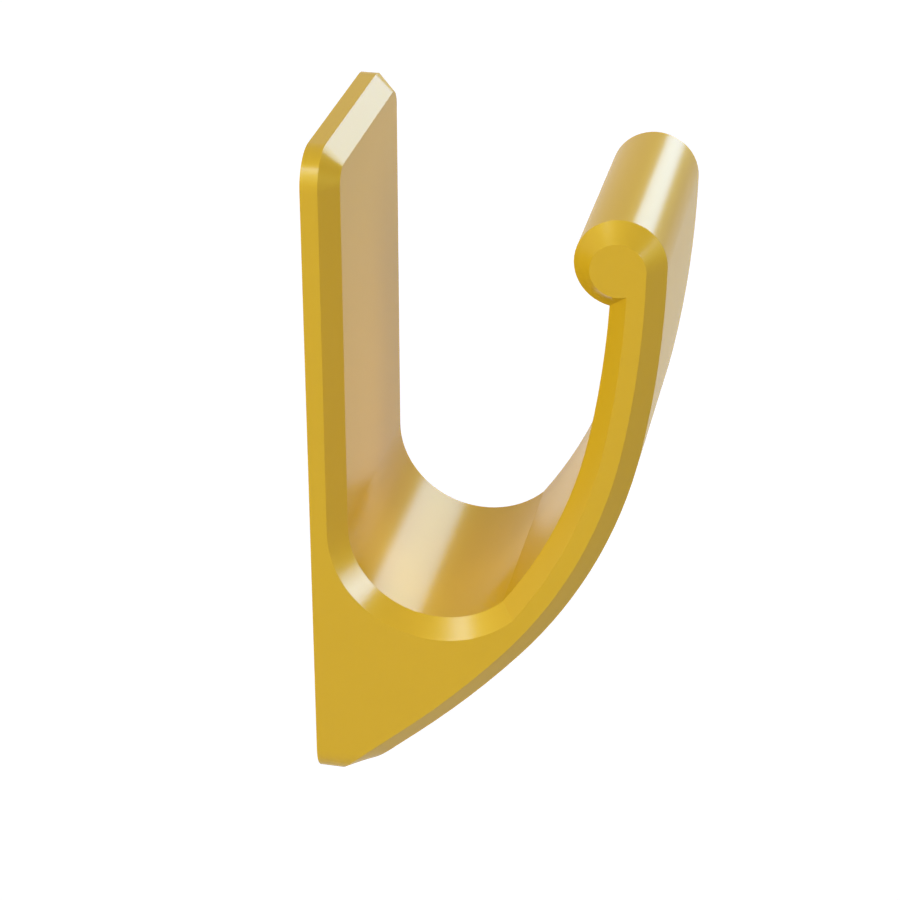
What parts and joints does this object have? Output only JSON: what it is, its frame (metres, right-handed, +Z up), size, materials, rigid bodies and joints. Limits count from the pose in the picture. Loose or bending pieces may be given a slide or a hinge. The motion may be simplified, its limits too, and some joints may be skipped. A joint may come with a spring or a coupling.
{
  "type": "bath hook",
  "caption": "One-piece wall hook for a bathroom: flat back plate, round seat and a curved arm that ends in a round bead.",
  "frame": {"origin": "centre of the flat back face, on the wall", "axes": "+Z up along the wall, +Y out of the back face into the wall, +X across the hook; the arm comes out towards -Y"},
  "size_m": [0.023, 0.0299, 0.0608],
  "materials": {
    "gold_finish": "gold, smooth and glossy"
  },
  "bodies": {
    "root": {"hook": "gold_finish"}
  },
  "joints": []
}
